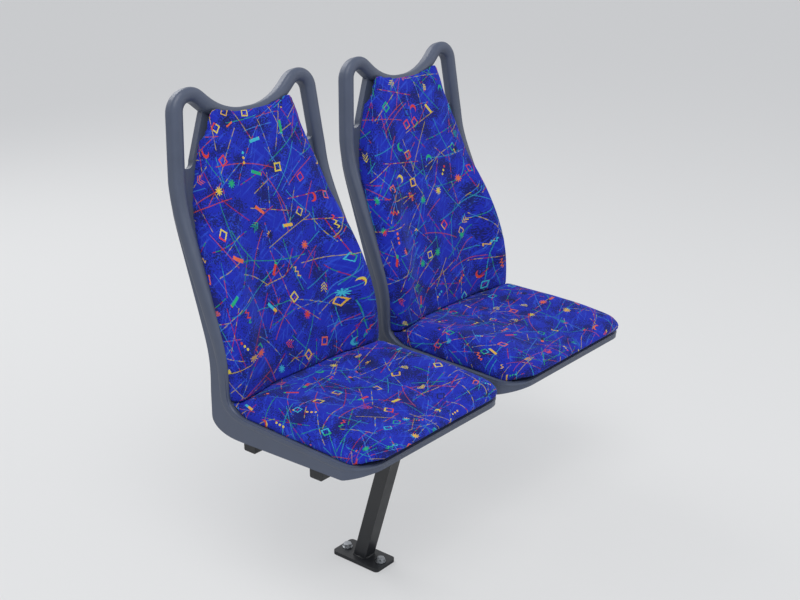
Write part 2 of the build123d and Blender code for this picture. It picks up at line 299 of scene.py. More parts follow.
CREASE_DROP = 0.016       # crease between the pads, below the rims beside it
PAD_LEAN = 0.2615         # the pad's front goes back this much for each metre up
TOP_DIP = 0.022           # sag of the top edge between its corners
GRIP_HEIGHTS = (0.01, 0.107, 0.20, 0.255, 0.32)      # half depth of the rim up the back
GRIP_DEPTHS = (0.0035, 0.0065, 0.0115, 0.015, 0.0175)
RAIL_UNDER = 0.468        # above this the pad lies ahead of the top rail
RAIL_BLEND = 0.030        # and starts to come forward this far below
BOLSTER = 0.036           # how far the bolsters stand up
BOLSTER_MID = 0.115       # height of their thickest place
BOLSTER_REACH = 0.182     # from there to where they fade out
BOLSTER_FADE = 1.2        # the higher, the sooner they fade
BOLSTER_IN = 0.030        # ridge of a bolster inside the pad's edge
BOLSTER_RISE = 0.085      # half width of the flat between their feet
FOAM_SLACK = 0.003        # the form is made this much thinner, for the cover to swell into
BACK_GRID = (71, 91)      # points of the form across and up
VOXEL = 0.006             # mesh of the covers
PRESSURE = 4.0            # pressure and frames of the cloth simulation that stuffs them
FRAMES = 20
HOLD_STEPS = 10           # the hold is given to the simulation in this many steps
ROUNDS = 12               # steps that settle a height
PAD_TUCK = 0.001          # the pad stops this far ahead of the top rail
SIDE_ROLL = (0.020, 0.014)           # round of the sides, and how much more the bolsters take
TOP_ROLL = 0.014          # round of the top edge
PAD_FLANK = (0.002, 0.014)           # the rear of the pad slopes in between these places from its edge
HELD_RIM = (0.002, 0.022)            # the cloth is held to the first and free from the second
HELD_REAR = (0.010, 0.022)           # free to the first behind the pad's plane, held from the second


def true_height(v):
    """Height of the rim's point that the view square to the back shows at v, found by going round."""
    z = v
    for _ in range(ROUNDS):
        z = z + (v - view_height(rim_front(z), z))
    return z


def roll(distance, radius):
    """Quarter-round edge: 0 at the edge, 1 from a radius inwards, and a circle's quarter between."""
    t = np.clip(distance / radius, 0, 1)
    return np.sqrt(1 - (1 - t) ** 2)


def pillow(front, rear):
    """Closed form of two sheets on one grid that meet along its border: points and quads."""
    shape = front.shape[:2]
    index = np.arange(front[..., 0].size).reshape(shape)
    border = np.zeros(shape, bool)
    border[[0, -1], :] = True
    border[:, [0, -1]] = True
    back = np.where(border, index, index + index.size)
    quads = [
        np.stack((g[:-1, :-1], g[:-1, 1:], g[1:, 1:], g[1:, :-1]), axis=-1).reshape(-1, 4)[:, ::flip]
        for g, flip in ((index, 1), (back, -1))
    ]
    return np.concatenate((front.reshape(-1, 3), rear.reshape(-1, 3))), np.concatenate(quads)


def spread(count):
    """Values from -1 to 1 as a sine takes them, closer together towards the ends."""
    return np.sin(np.linspace(-0.5, 0.5, count) * np.pi)


def back_pad_form():
    """Back pad: a leaning plane with a bolster swelling up each side, its side and top edges rolled
    back to the rim. A bolster's share at a height is 1 less the square of the distance from its
    thickest place over its reach, to a power. Rows run up the pad, columns across it."""
    s, t = np.meshgrid(spread(BACK_GRID[0]), (1 + spread(BACK_GRID[1])) / 2)
    top = PAD_TOP[0] - TOP_DIP * (1 - s ** 2)
    low = view_height(0, -CREASE_DROP)
    v = low + t * (top - low)
    z = true_height(v)
    edge = half_width(v)
    u = s * edge
    side = np.abs(u)
    swell = np.clip(1 - ((z - BOLSTER_MID) / BOLSTER_REACH) ** 2, 0, 1) ** BOLSTER_FADE
    plane = (z + CREASE_DROP) * PAD_LEAN + FOAM_SLACK
    plane = plane - BOLSTER * swell * smooth_step(side, BOLSTER_RISE, edge - BOLSTER_IN)
    over_rail = smooth_step(v, RAIL_UNDER - RAIL_BLEND, RAIL_UNDER)
    tuck = rim_front(z) + np.interp(z, GRIP_HEIGHTS, GRIP_DEPTHS) * (1 - over_rail) - PAD_TUCK * over_rail
    crown = roll(edge - side, SIDE_ROLL[0] + SIDE_ROLL[1] * swell) * roll(top - v, TOP_ROLL)
    front = tuck + (plane - tuck) * crown
    behind = panel_front(z) + (rim_front(z) - PAD_TUCK - panel_front(z)) * over_rail
    behind = tuck + (behind - tuck) * smooth_step(edge - side, *PAD_FLANK)
    rear = np.maximum(behind, front)
    return pillow(np.stack((u, front, z), axis=-1), np.stack((u, rear, z), axis=-1))


def hold_back(points):
    """1 where the back pad is held: behind, and round its edge; 0 on its free front."""
    u, y, z = points.T
    v = view_height(y, z)
    inside = np.minimum(half_width(v) - np.abs(u), PAD_TOP[0] - TOP_DIP - v)
    middle = (z + CREASE_DROP) * PAD_LEAN
    return np.maximum(1 - smooth_step(inside, *HELD_RIM), smooth_step(y - middle, *HELD_REAR))


def stuffed(points, faces, hold, swell):
    """Form with its cover blown out by cloth simulation. A point moves up to about swell, because
    its move m becomes swell times tanh(m / swell), and held points stay."""
    mesh = bpy.data.meshes.new("form")
    mesh.from_pydata(points.tolist(), [], faces.tolist())
    form = bpy.data.objects.new("form", mesh)
    bpy.context.scene.collection.objects.link(form)
    remesh = form.modifiers.new("remesh", "REMESH")
    remesh.mode = "VOXEL"
    remesh.voxel_size = VOXEL
    view = bpy.context.evaluated_depsgraph_get()
    fine = bpy.data.meshes.new_from_object(form.evaluated_get(view))
    form.modifiers.clear()
    form.data = fine
    start = read_points(fine)
    corners = np.empty(len(fine.loops), int)
    fine.loops.foreach_get("vertex_index", corners)
    held = hold(start)
    moved = start
    group = form.vertex_groups.new(name="held")
    for level in range(1, HOLD_STEPS + 1):
        picked = np.flatnonzero(np.round(held * HOLD_STEPS) == level)
        group.add(picked.tolist(), level / HOLD_STEPS, "REPLACE")
    cloth = form.modifiers.new("cloth", "CLOTH")
    cloth.settings.use_pressure = True
    cloth.settings.uniform_pressure_force = PRESSURE
    cloth.settings.vertex_group_mass = "held"
    cloth.settings.effector_weights.gravity = 0
    cloth.point_cache.frame_end = FRAMES
    for frame_number in range(1, FRAMES + 1):
        bpy.context.scene.frame_set(frame_number)
    view = bpy.context.evaluated_depsgraph_get()
    blown = bpy.data.meshes.new_from_object(form.evaluated_get(view))
    move = read_points(blown) - start
    length = np.linalg.norm(move, axis=1, keepdims=True) + 1e-9
    moved = start + move / length * swell * np.tanh(length / swell) * (1 - held[:, None])
    bpy.context.scene.frame_set(1)
    bpy.data.objects.remove(form)
    return moved, corners.reshape(-1, 4)


# The cloth, with its sizes in mm
WEAVE = 0.9               # pitch of the weave that breaks up the pattern's edges, drawn coarse
PILE = 1.1                # tufts of the pile, drawn coarse
SPECK = 3.2               # navy speckles
PATCH = 48.0              # patches of them
SPECK_RULE = (1.1, 1.11)  # one shows where speckle plus the first times patch passes the second
SPECK_SHOW = 0.85         # how strongly it covers the blue
# Layers of paler streaks: turn in radians, room along and across, noise where one starts, colour
STREAKS = (
    (0.5, (70, 7), 0.56, "#2a4cc6"),
    (-0.7, (60, 6), 0.58, "#2440c0"),
    (1.1, (80, 5), 0.60, "#345ccc"),
)
STREAK_SOFT = 0.12        # noise over which a streak comes up
STREAK_SHOW = 0.8
# Layers of woven lines: turn in degrees, room along and across for each line, place
LINES = (
    (28, 150, 46, 310),
    (-38, 130, 52, 940),
    (64, 140, 58, 1570),
    (-72, 120, 50, 2230),
    (8, 170, 70, 2870),
    (44, 110, 64, 3490),
)
LINE_WIDTH = 1.5
LINE_SPIN = 0.5           # a line is turned further by up to this, in radians
LINE_BOW = 0.004          # and bowed by up to half of this times the square of the way along it
LINE_REACH = (0.15, 0.35)            # half its length in shares of its room: the least, and chance's part
LINE_WAVE = (0.24, 0.07)  # its colour varies along it, in radians for each mm and by this much
LINE_SHOW = 0.85
LINE_TINTS = ("#2a90a8", "#1f8a52", "#a31c12", "#b29a2c", "#3a74c4", "#b2400f")
MOTIF_ROOM = (58.0, 58.0)            # one motif in a place of about this size
MOTIF_TURN = 0.2          # turn and place of the motifs' layer
MOTIF_PLACE = 4100
MOTIF_BLEND = 0.006       # a motif's colour varies across it by this for each mm
MOTIF_SHOW = 0.92
MOTIF_TINTS = ("#d6c138", "#cf3c1c", "#22a566", "#3db2c6", "#dcae30", "#12163c", "#e0662a")
MOTIF_KINDS = 9

# Motifs, worked out from x, y, their sizes ax, ay and the radius r in mm. Each row names a
# number, an operation and what it works on; a motif is 1 inside its lines. The kinds are a diamond,
# a crescent, a zigzag, chevrons, three dots, a hatched half disc, a square, a bar and a star.
MOTIFS = (
    ("sum", "ADD", "ax", "ay"),
    ("kind_0", "COMPARE", "sum", 9.0, 1.5),
    ("shift", "SUBTRACT", "x", 4.0),
    ("shift_2", "MULTIPLY", "shift", "shift"),
    ("bite", "MULTIPLY_ADD", "y", "y", "shift_2"),
    ("outer", "LESS_THAN", "r", 9.0),
    ("clear", "GREATER_THAN", "bite", 52.0),
    ("kind_1", "MULTIPLY", "outer", "clear"),
    ("tooth", "PINGPONG", "x", 5.0),
    ("tooth_y", "MULTIPLY_ADD", "y", 0.8, 2.5),
    ("near_tooth", "COMPARE", "tooth_y", "tooth", 1.4),
    ("short", "LESS_THAN", "ax", 13.0),
    ("kind_2", "MULTIPLY", "near_tooth", "short"),
    ("vee", "SUBTRACT", "y", "ax"),
    ("vee_stripe", "WRAP", "vee", 6.0, 0.0),
    ("vee_thin", "LESS_THAN", "vee_stripe", 2.6),
    ("vee_near", "COMPARE", "vee", -5.0, 6.5),
    ("vee_side", "LESS_THAN", "ax", 7.5),
    ("vee_cut", "MULTIPLY", "vee_near", "vee_side"),
    ("kind_3", "MULTIPLY", "vee_thin", "vee_cut"),
    ("third", "WRAP", "x", 4.5, -4.5),
    ("third_2", "MULTIPLY", "third", "third"),
    ("dot", "MULTIPLY_ADD", "y", "y", "third_2"),
    ("dot_in", "LESS_THAN", "dot", 8.0),
    ("kind_4", "MULTIPLY", "dot_in", "short"),
    ("upper", "GREATER_THAN", "y", 0.0),
    ("hatch", "WRAP", "x", 3.4, 0.0),
    ("hatch_in", "LESS_THAN", "hatch", 2.0),
    ("half", "MULTIPLY", "outer", "upper"),
    ("kind_5", "MULTIPLY", "half", "hatch_in"),
    ("widest", "MAXIMUM", "ax", "ay"),
    ("kind_6", "COMPARE", "widest", 7.0, 1.4),
    ("flat", "LESS_THAN", "ay", 3.0),
    ("kind_7", "MULTIPLY", "flat", "short"),
    ("angle", "ARCTAN2", "y", "x"),
    ("angle_9", "MULTIPLY", "angle", 9.0),
    ("ray", "COSINE", "angle_9", 0.0),
    ("ray_r", "MULTIPLY_ADD", "ray", 2.6, 6.2),
    ("kind_8", "LESS_THAN", "r", "ray_r"),
)


def worked_out(tree, wires, rows):
    """Math nodes from rows of a name, an operation and its inputs, which are numbers or names."""
    for name, operation, *terms in rows:
        inputs = {place: wires.get(term, term) for place, term in enumerate(terms)}
        wires[name] = add_node(tree, "ShaderNodeMath", inputs, operation=operation).outputs[0]
    return wires


def local_frame(tree, cloth, turn, room, place, spin):
    """Cells of one size, each with its own middle: x and y in mm from there, turned by up to spin
    radians, and two chances between 0 and 1."""
    laid = {"Location": (place, place * 0.7, 0), "Rotation": (0, 0, turn), "Scale": (*room, 1)}
    cell = add_node(
        tree, "ShaderNodeMapping", {"Vector": cloth, **laid}, vector_type="TEXTURE"
    ).outputs[0]
    dots = add_node(tree, "ShaderNodeTexVoronoi", {"Vector": cell, "Scale": 1.0}, voronoi_dimensions="2D")
    away = add_node(
        tree, "ShaderNodeVectorMath", {0: cell, 1: dots.outputs["Position"]}, operation="SUBTRACT"
    )
    real = add_node(tree, "ShaderNodeVectorMath", {0: away.outputs[0], 1: (*room, 0)}, operation="MULTIPLY")
    chance = add_node(tree, "ShaderNodeSeparateColor", {0: dots.outputs["Color"]})
    angle = add_node(tree, "ShaderNodeMath", {0: chance.outputs[0], 1: spin}, operation="MULTIPLY")
    turned = add_node(
        tree, "ShaderNodeVectorRotate", {"Vector": real.outputs[0], "Angle": angle.outputs[0]},
        rotation_type="Z_AXIS",
    )
    axes = add_node(tree, "ShaderNodeSeparateXYZ", {0: turned.outputs[0]})
    r = add_node(tree, "ShaderNodeVectorMath", {0: real.outputs[0]}, operation="LENGTH").outputs["Value"]
    return {
        "x": axes.outputs[0], "y": axes.outputs[1], "r": r,
        "chance": chance.outputs[1], "other_chance": chance.outputs[2],
    }


def tint_of(tree, chance, tints):
    """One of some colours, chosen by a chance."""
    ramp = add_node(tree, "ShaderNodeValToRGB", {0: chance})
    ramp.color_ramp.interpolation = "CONSTANT"
    while len(ramp.color_ramp.elements) < len(tints):
        ramp.color_ramp.elements.new(1.0)
    for place, (element, tint) in enumerate(zip(ramp.color_ramp.elements, tints)):
        element.position = place / len(tints)
        element.color = linear(tint)
    return ramp.outputs[0]


def layer(tree, under, over, mask):
    """One colour over another where a mask is 1."""
    return add_node(
        tree, "ShaderNodeMix", {"Factor": mask, "A": under, "B": over}, data_type="RGBA"
    ).outputs["Result"]


def moquette_colour(tree):
    """Royal blue pile with navy speckles in patches and paler streaks, fine woven lines that cross at
    all angles, and small plain motifs scattered over it."""
    flat = add_node(tree, "ShaderNodeUVMap", uv_map="weave").outputs[0]
    cloth = add_node(
        tree, "ShaderNodeVectorMath", {0: flat, 1: (WEAVE, WEAVE, WEAVE)}, operation="SNAP"
    ).outputs[0]
    colour = linear("#1827a6")
    patch = add_node(tree, "ShaderNodeTexNoise", {"Vector": cloth, "Scale": 1 / PATCH, "Detail": 3.0})
    for turn, room, low, tint in STREAKS:
        brushed = add_node(
            tree, "ShaderNodeMapping",
            {"Vector": cloth, "Rotation": (0, 0, turn), "Scale": (*room, 1)}, vector_type="TEXTURE",
        )
        streak = add_node(
            tree, "ShaderNodeTexNoise", {"Vector": brushed.outputs[0], "Scale": 1.0, "Detail": 3.0}
        )
        mask = add_node(
            tree, "ShaderNodeMapRange",
            {"Value": streak.outputs["Fac"], "From Min": low, "From Max": low + STREAK_SOFT,
             "To Max": STREAK_SHOW},
        )
        colour = layer(tree, colour, linear(tint), mask.outputs[0])
    specks = add_node(tree, "ShaderNodeTexNoise", {"Vector": cloth, "Scale": 1 / SPECK, "Detail": 2.0})
    wires = worked_out(
        tree, {"speck": specks.outputs["Fac"], "patch": patch.outputs["Fac"]},
        (
            ("patchy", "MULTIPLY_ADD", "patch", SPECK_RULE[0], "speck"),
            ("navy", "GREATER_THAN", "patchy", SPECK_RULE[1]),
            ("navy_soft", "MULTIPLY", "navy", SPECK_SHOW),
        ),
    )
    colour = layer(tree, colour, linear("#12174f"), wires["navy_soft"])
    for turn, along, across, place in LINES:
        wires = local_frame(tree, cloth, math.radians(turn), (along, across), place, LINE_SPIN)
        wires = worked_out(
            tree, wires,
            (
                ("ax", "ABSOLUTE", "x"),
                ("x_2", "MULTIPLY", "x", "x"),
                ("bow", "SUBTRACT", "chance", 0.5),
                ("bow_mm", "MULTIPLY", "bow", LINE_BOW),
                ("off", "MULTIPLY_ADD", "x_2", "bow_mm", "y"),
                ("on", "COMPARE", "off", 0.0, LINE_WIDTH / 2),
                ("reach", "MULTIPLY_ADD", "other_chance", along * LINE_REACH[1], along * LINE_REACH[0]),
                ("inside", "LESS_THAN", "ax", "reach"),
                ("line", "MULTIPLY", "on", "inside"),
                ("wave", "MULTIPLY", "x", LINE_WAVE[0]),
                ("dash", "SINE", "wave"),
                ("shade", "MULTIPLY_ADD", "dash", LINE_WAVE[1], "chance"),
                ("drawn", "MULTIPLY", "line", LINE_SHOW),
            ),
        )
        colour = layer(tree, colour, tint_of(tree, wires["shade"], LINE_TINTS), wires["drawn"])
    wires = local_frame(tree, cloth, MOTIF_TURN, MOTIF_ROOM, MOTIF_PLACE, math.tau)
    wires = worked_out(
        tree, wires,
        (
            ("ax", "ABSOLUTE", "x"),
            ("ay", "ABSOLUTE", "y"),
            *MOTIFS,
            ("chosen", "MULTIPLY", "chance", MOTIF_KINDS),
            ("kind", "FLOOR", "chosen"),
            ("shown", "MULTIPLY", 0.0, 0.0),
        ),
    )
    for kind in range(MOTIF_KINDS):
        wires = worked_out(
            tree, wires,
            (
                ("this", "COMPARE", "kind", kind, 0.5),
                ("shown", "MULTIPLY_ADD", "this", f"kind_{kind}", "shown"),
            ),
        )
    wires = worked_out(
        tree, wires,
        (
            ("blend", "MULTIPLY_ADD", "x", MOTIF_BLEND, "other_chance"),
            ("strong", "MULTIPLY", "shown", MOTIF_SHOW),
        ),
    )
    return layer(tree, colour, tint_of(tree, wires["blend"], MOTIF_TINTS), wires["strong"]), flat


# Moquette: a short, dense cut pile that is matt from the front and catches light at its edges.
moquette, tree, shader = new_material(
    "woven_moquette",
    **{"Roughness": 0.92, "Sheen Weight": 0.2, "Sheen Roughness": 0.45, "Sheen Tint": linear("#7f98ff"),
       "Specular IOR Level": 0.25},
)
colour, flat = moquette_colour(tree)
tree.links.new(colour, shader.inputs["Base Color"])
pile = add_node(tree, "ShaderNodeTexNoise", {"Vector": flat, "Scale": 1 / PILE, "Detail": 2.0})
nap = add_node(
    tree, "ShaderNodeBump", {"Height": pile.outputs["Fac"], "Strength": 0.35, "Distance": 0.0006}
)
tree.links.new(nap.outputs[0], shader.inputs["Normal"])


def lay_cloth(piece, across, along):
    """UV map in millimetres, from how far each point lies across and along the cloth."""
    mesh = piece.data
    corners = np.empty(len(mesh.loops), int)
    mesh.loops.foreach_get("vertex_index", corners)
    layer_of_cloth = mesh.uv_layers.new(name="weave")
    places = np.stack((across, along), axis=-1)[corners] * 1000
    layer_of_cloth.data.foreach_set("uv", places.ravel())


CLOTH_SHIFT = (1.3, 0.6)  # along the cloth, from seat to seat and from back to seat pad


def cover(name, node, points, faces, seat, across, along):
    """A pad's cover in its place, with its cloth laid and its last subdivision. Each is cut from another
    place of the cloth."""
    pad = put_mesh(name, points + seat_origin(seat), faces, moquette)
    shift = CLOTH_SHIFT[0] * SEAT_NAMES.index(seat) + (CLOTH_SHIFT[1] if node.startswith("seat") else 0.0)
    lay_cloth(pad, across + shift, along + shift / 2)
    smooth = pad.modifiers.new("smooth", "SUBSURF")
    smooth.levels = smooth.render_levels = 1
    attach(pad, "root")
    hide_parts(node)


BACK_SWELL = 0.004        # how far the cloth of the back pads may swell
PATTERN_TURN = 0.04       # width over which the pattern starts to follow the sides round
PATTERN_TOP = 0.030       # it starts to follow the top edge this far below
points, faces = stuffed(*back_pad_form(), hold_back, BACK_SWELL)
u, y, z = points.T
behind = y - (z + CREASE_DROP) * PAD_LEAN
near_top = smooth_step(view_height(y, z), PAD_TOP[0] - TOP_DIP - PATTERN_TOP, PAD_TOP[0] - TOP_DIP)
for seat in SEAT_NAMES:
    cover(
        f"back_pad_cover_{seat}", f"back_pad_{seat}", points, faces, seat,
        u + np.tanh(u / PATTERN_TURN) * behind, z + behind * near_top,
    )

# Seat pads. The same foam and moquette, dished for the sitter, with broad round
# sides down to the rim and a nose that rolls over the shell's front lip.

SEAT_HALF = 0.2082        # half width
SEAT_REAR = 0.018         # rear edge, under the back pad
SEAT_FRONT = -0.329       # front edge
SEAT_CORNER = 0.058       # front corners, seen from above
SEAT_UNDER = -0.0455      # lower edge at the crease, inside the rim
NOSE_LIFT = 0.011         # that edge rises at the nose, over the shell's front lip
SEAT_TOP = -0.005         # ridge of the sides
SEAT_DISH = 0.013         # dish between them
DISH_FLAT = 0.030         # half width of its flat bottom
SEAT_ROLL = 0.040         # round of the sides
NOSE_DROP = 0.014         # the top falls this far before the nose
NOSE_FALL = (0.170, 0.330)           # between these places
DISH_SHARE = 0.4          # and by this share less in the dish
NOSE_ROLL = 0.033         # round of the nose
UNDER_BACK = -0.018       # top of the pad where the back pad stands on it
UNDER_STEP = (-0.010, 0.004)         # it steps down between these places at the crease
CREASE_AHEAD = 0.015      # the bolsters of the back pad move that step forward by this much
BEND_R = 0.052            # the rim's bend into the back, which the pad's rear edge climbs
BEND_END = 0.92           # part of that bend which the pad reaches
BOWL_LIFT = 0.016         # between the rims it climbs only this much
RIM_SEAT = (-0.013, -0.004)          # from the bowl to the rim, measured from the pad's edge
NOSE_LIP = (0.275, 0.315)            # the lower edge rises between these places
THINNEST = 0.004          # least thickness at the rear edge
HELD_LOW = (-0.048, -0.032)          # the cloth is held below the first and free above the second
HELD_BACK = (-0.012, 0.002)          # free ahead of the first and held behind the second
SEAT_GRID = (71, 81)      # points of the form across and along


def seat_pad_form():
    """Seat pad: a dished top that falls towards the nose, with quarter-round sides and nose, and a
    step down under the back pad. Its underside follows the rim, a circle at the bend and a parabola
    inside the bowl. Columns run across, rows from the nose back."""
    s, t = np.meshgrid(spread(SEAT_GRID[0]), (1 + spread(SEAT_GRID[1])) / 2)
    y = SEAT_FRONT + t * (SEAT_REAR - SEAT_FRONT)
    into_corner = np.clip(1 - (y - SEAT_FRONT) / SEAT_CORNER, 0, 1)
    half = SEAT_HALF - SEAT_CORNER * (1 - np.sqrt(1 - into_corner ** 2))
    u = s * half
    side = np.abs(u)
    dish = SEAT_DISH * (1 - smooth_step(side, DISH_FLAT, half - SEAT_ROLL))
    fall = NOSE_DROP * smooth_step(-y, *NOSE_FALL)
    top = SEAT_TOP - dish - fall * (1 - DISH_SHARE * dish / SEAT_DISH)
    crease = -CREASE_AHEAD * smooth_step(side, BOLSTER_RISE, SIDE_WIDTHS[0] - BOLSTER_IN)
    top = top + (UNDER_BACK - top) * smooth_step(y, crease + UNDER_STEP[0], crease + UNDER_STEP[1])
    lip = NOSE_LIFT * smooth_step(-y, *NOSE_LIP)
    under = SEAT_UNDER - SEAT_FALL * np.clip(FALL_FROM - y, 0, None) + lip
    climb = np.clip((y - TRUE_SEAT[-1]) / BEND_R, 0, BEND_END)
    on_rim = BEND_R * (1 - np.sqrt(1 - climb ** 2))
    in_bowl = BOWL_LIFT * climb ** 2
    rim = smooth_step(side, half + RIM_SEAT[0], half + RIM_SEAT[1])
    under = under + in_bowl + (on_rim - in_bowl) * rim
    under = np.minimum(under, top - THINNEST)
    height = (top - under) * roll(half - side, SEAT_ROLL) * roll(y - SEAT_FRONT, NOSE_ROLL)
    return pillow(np.stack((u, y, under + height), axis=-1), np.stack((u, y, under), axis=-1))


def hold_seat(points):
    """1 where the seat pad is held: underneath and under the back pad; 0 on its free top."""
    y, z = points[:, 1], points[:, 2]
    return np.maximum(1 - smooth_step(z, *HELD_LOW), smooth_step(y, *HELD_BACK))


SEAT_SWELL = 0.003        # how far the cloth of the seat pads may swell
PATTERN_NOSE = (0.270, 0.310)        # the pattern turns down over the nose between these places
points, faces = stuffed(*seat_pad_form(), hold_seat, SEAT_SWELL)
u, y, z = points.T
below = SEAT_TOP - z
near_nose = smooth_step(-y, *PATTERN_NOSE)
for seat in SEAT_NAMES:
    cover(
        f"seat_pad_cover_{seat}", f"seat_pad_{seat}", points, faces, seat,
        u + np.tanh(u / PATTERN_TURN) * below, y - below * near_nose,
    )

# Frame under the seats. Square steel tubes, rails and plates are welded up and
# powder-coated black, with plastic plugs in the beams' ends.

PEEL = 0.0024             # ripples of the melted powder
DUST = 0.060              # clouds of dust

# Powder coat: a smooth half-gloss skin with the faint orange peel of melted powder, dulled by dust.
powder_coat, tree, shader = new_material("black_powder_coat", **{"IOR": 1.5})
place = clouded(tree, shader, DUST, 5.0, ("#17191d", "#2a2c30"), (0.34, 0.52))
peel = add_node(tree, "ShaderNodeTexNoise", {"Vector": place, "Scale": 1 / PEEL, "Detail": 1.0})
skin = add_node(
    tree, "ShaderNodeBump", {"Height": peel.outputs["Fac"], "Strength": 0.15, "Distance": 0.0002}
)
tree.links.new(skin.outputs[0], shader.inputs["Normal"])
STEEL_NODES = ("front_beam", "rear_beam", "leg", "leg_head", "foot_plate", "wall_bracket")
RAIL_NODES = [f"seat_rail_{seat}_{hand}" for seat in SEAT_NAMES for hand in ("left", "right")]
for name in (*STEEL_NODES, *RAIL_NODES):
    finish_node(name, powder_coat)

# Polyethylene plugs: black, waxy and a little scratched.
SCRATCH = 0.004           # room between the scratches
plug_plastic, tree, shader = new_material("black_polyethylene", **{"IOR": 1.5})
clouded(tree, shader, SCRATCH, 6.0, ("#141518", "#1f2126"), (0.4, 0.6))
for beam in ("front_beam", "rear_beam"):
    finish_node(f"{beam}_cap", plug_plastic)

# Welds. A rippled bead runs round the leg where it meets its foot and head plates,
# laid before the powder coat.

BEAD = 0.0028             # radius of a bead
RIPPLES = 56              # ripples round the leg
RIPPLE = 0.14             # and how much they swell the bead, as a share
BEAD_GRID = (6 * RIPPLES, 12)        # points of a bead round the leg and round itself
SQUARE = 0.3              # the lower, the squarer are its corners
CUT = 1.04                # the leg leans, so its cut is this much longer than the tube is wide


def bead_form(middle, half):
    """Ring round a square tube: a squared-off loop, whose corners come from a cosine and a sine to a
    low power, swept by a circle that swells and shrinks with the ripples."""
    turns = (np.linspace(0, math.tau, count, endpoint=False) for count in BEAD_GRID)
    turn, round_it = np.meshgrid(*turns, indexing="ij")
    side = np.sign(np.cos(turn)) * np.abs(np.cos(turn)) ** SQUARE
    front = np.sign(np.sin(turn)) * np.abs(np.sin(turn)) ** SQUARE
    radius = BEAD * (1 + RIPPLE * np.sin(RIPPLES * turn))
    out = radius * np.cos(round_it)
    length = np.hypot(side, front)
    points = np.stack(
        (
            middle[0] + side * half[0] + out * side / length,
            middle[1] + front * half[1] + out * front / length,
            middle[2] + radius * np.sin(round_it),
        ),
        axis=-1,
    )
    index = np.arange(turn.size).reshape(turn.shape)
    ahead, across = np.roll(index, -1, axis=0), np.roll(index, -1, axis=1)
    faces = np.stack((index, ahead, np.roll(ahead, -1, axis=1), across), axis=-1).reshape(-1, 4)
    return points.reshape(-1, 3), faces


low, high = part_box("leg")
half_x = (high.x - low.x) / 2
half_y = half_x * CUT
for name, middle in (
    ("foot_weld", ((low.x + high.x) / 2, high.y - half_y, low.z)),
    ("head_weld", ((low.x + high.x) / 2, low.y + half_y, high.z)),
):
    weld = put_mesh(name, *bead_form(middle, (half_x, half_y)), powder_coat)
    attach(weld, "root")

# Fixings. Zinc-plated hexagon bolts on washers hold the foot to the floor and the
# bracket to the wall, and small screws hold the rear covers to the shells.

BOLT_FLATS = 0.016        # across the flats of a head
HEAD_RISE = 0.0068        # height of a head
WASHER_R = 0.0105         # washer's radius and thickness
WASHER_T = 0.0018
EDGE_BREAK = 0.0003       # round of the edges of washers and heads
FOOT_BOLTS = 0.090        # from one foot bolt to the other
WALL_BOLTS = (0.224, 0.050)          # wall bolts, along and up


def bolt_rings():
    """Washer and head as rings of points round an axis. The head is a hexagon, whose radius is half
    its flats over the cosine of the angle from the nearest flat, cut by a cone above."""
    turn = np.linspace(0, math.tau, 48, endpoint=False)
    flats = BOLT_FLATS / 2 / np.cos(turn % (math.pi / 3) - math.pi / 6)
    round_r = np.ones_like(turn)
    top = WASHER_T + HEAD_RISE
    rows = (                                                     # height and radii of each ring
        (0.0, WASHER_R * round_r),                               # washer's foot
        (WASHER_T * 0.8, WASHER_R * round_r),                    # its side
        (WASHER_T, (WASHER_R - EDGE_BREAK) * round_r),           # its top
        (WASHER_T, flats),                                       # head's foot
        (top - 0.0012, flats),                                   # its flats
        (top - 0.0006, np.minimum(flats, BOLT_FLATS * 0.54)),    # cone that cuts its corners
        (top, np.minimum(flats, BOLT_FLATS * 0.475)),            # flat top
    )
    heights = np.array([height for height, _ in rows])[:, None] * round_r
    radii = np.array([radius for _, radius in rows])
    return np.stack((radii * np.cos(turn), radii * np.sin(turn), heights), axis=-1)


def capped(grid):
    """Closed form of rings, one row each: quads between them, and a flat face at each end."""
    rows, count = grid.shape[:2]
    index = np.arange(rows * count).reshape(rows, count)
    after = np.roll(index, -1, axis=1)
    quads = np.stack((index[:-1], after[:-1], after[1:], index[1:]), axis=-1).reshape(-1, 4)
    return grid.reshape(-1, 3), [*quads.tolist(), index[0, ::-1].tolist(), index[-1].tolist()]


def fixings(name, rings, places, material):
    """The same fixing at some places. A place is a spot and three axes: two across the head and one
    out of it. A point is the spot plus the axes times the rings' three lengths."""
    points, faces = [], []
    for spot, axes in places:
        form, sides = capped(np.einsum("ijk,kl->ijl", rings, np.array(axes)))
        start = sum(len(part) for part in points)
        points.append(form + np.array(spot))
        faces += [[start + corner for corner in side] for side in sides]
    piece = put_mesh(name, np.concatenate(points), faces, material)
    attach(piece, "root")
    return piece


def bolts(name, spots, axes, material):
    """Bolts at some spots, all one way round, with their edges broken."""
    piece = fixings(name, bolt_rings(), [(spot, axes) for spot in spots], material)
    edges = piece.modifiers.new("edges", "BEVEL")
    edges.width = EDGE_BREAK
    edges.segments = 2
    edges.limit_method = "ANGLE"


# Zinc plate: a bright, slightly cloudy metal.
BLOOM = 0.005             # its clouds
zinc, tree, shader = new_material("zinc_plated_steel", **{"Metallic": 1.0})
clouded(tree, shader, BLOOM, 4.0, ("#8d9298", "#b4b7ba"), (0.3, 0.5))

